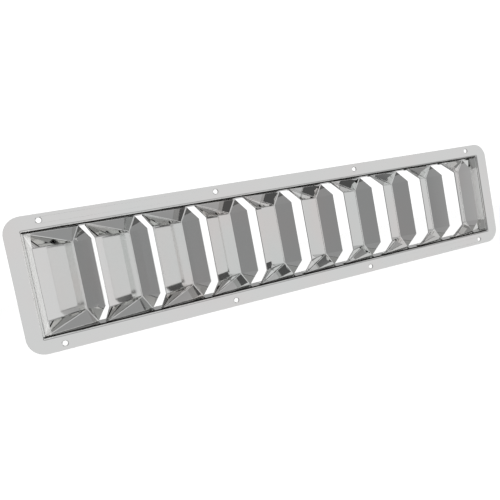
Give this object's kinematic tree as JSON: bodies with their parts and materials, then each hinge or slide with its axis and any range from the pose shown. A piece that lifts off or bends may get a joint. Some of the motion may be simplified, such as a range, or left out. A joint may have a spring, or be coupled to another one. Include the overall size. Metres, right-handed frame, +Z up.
{
  "type": "louvred air grille",
  "caption": "Long rectangular louvred vent grille of mirror-polished stainless sheet: screw-fixed flange frame around fixed upright louvres in a short duct collar.",
  "frame": {"origin": "centre of the screw-hole pattern, on the flange's back face, which seats against the bulkhead", "axes": "+X along the long side of the face, +Z up along the louvres, front face towards -Y"},
  "size_m": [0.413, 0.0254, 0.092],
  "materials": {
    "frame_steel": "polished",
    "louvre_steel": "polished",
    "collar_steel": "polished",
    "wall_steel": "satin",
    "weld_mark": "satin"
  },
  "bodies": {
    "root": {"flange_frame": "frame_steel", "collar_top": "wall_steel", "collar_bottom": "wall_steel", "collar_left": "collar_steel", "collar_right": "collar_steel", "louvre_01": "louvre_steel", "louvre_02": "louvre_steel", "louvre_03": "louvre_steel", "louvre_04": "louvre_steel", "louvre_05": "louvre_steel", "louvre_06": "louvre_steel", "louvre_07": "louvre_steel", "louvre_08": "louvre_steel", "louvre_09": "louvre_steel", "louvre_10": "louvre_steel", "louvre_spot_welds": "weld_mark", "frame_spot_welds": "weld_mark"}
  },
  "joints": []
}
